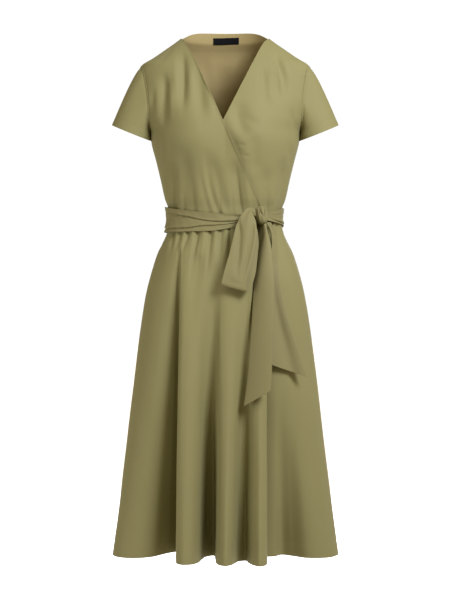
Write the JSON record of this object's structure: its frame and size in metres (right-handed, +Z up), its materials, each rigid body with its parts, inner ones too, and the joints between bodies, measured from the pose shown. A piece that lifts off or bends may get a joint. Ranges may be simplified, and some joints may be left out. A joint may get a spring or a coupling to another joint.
{
  "type": "wrap dress",
  "caption": "Knee-length wrap dress with a V neck, short set-in sleeves, a flared skirt in soft folds and a tie belt in a half bow, held in its worn shape.",
  "frame": {"origin": "midway between the two points where the shoulder seams meet the neckline", "axes": "+Z up along the dress, -Y the way its front faces, +X towards the wearer's left"},
  "size_m": [0.5332, 0.3772, 1.2356],
  "materials": {
    "crepe": "matt crepe weave",
    "belt_crepe": "matt crepe weave",
    "label_satin": "woven satin"
  },
  "bodies": {
    "root": {"bodice_front_right": "crepe", "bodice_front_left": "crepe", "bodice_back": "crepe", "sleeve_right": "crepe", "sleeve_left": "crepe", "skirt_front_right": "crepe", "skirt_front_left": "crepe", "skirt_back": "crepe", "belt_band": "belt_crepe", "belt_knot": "belt_crepe", "belt_loop": "belt_crepe", "belt_tail_front": "belt_crepe", "belt_tail_back": "belt_crepe", "neck_label": "label_satin"}
  },
  "joints": []
}
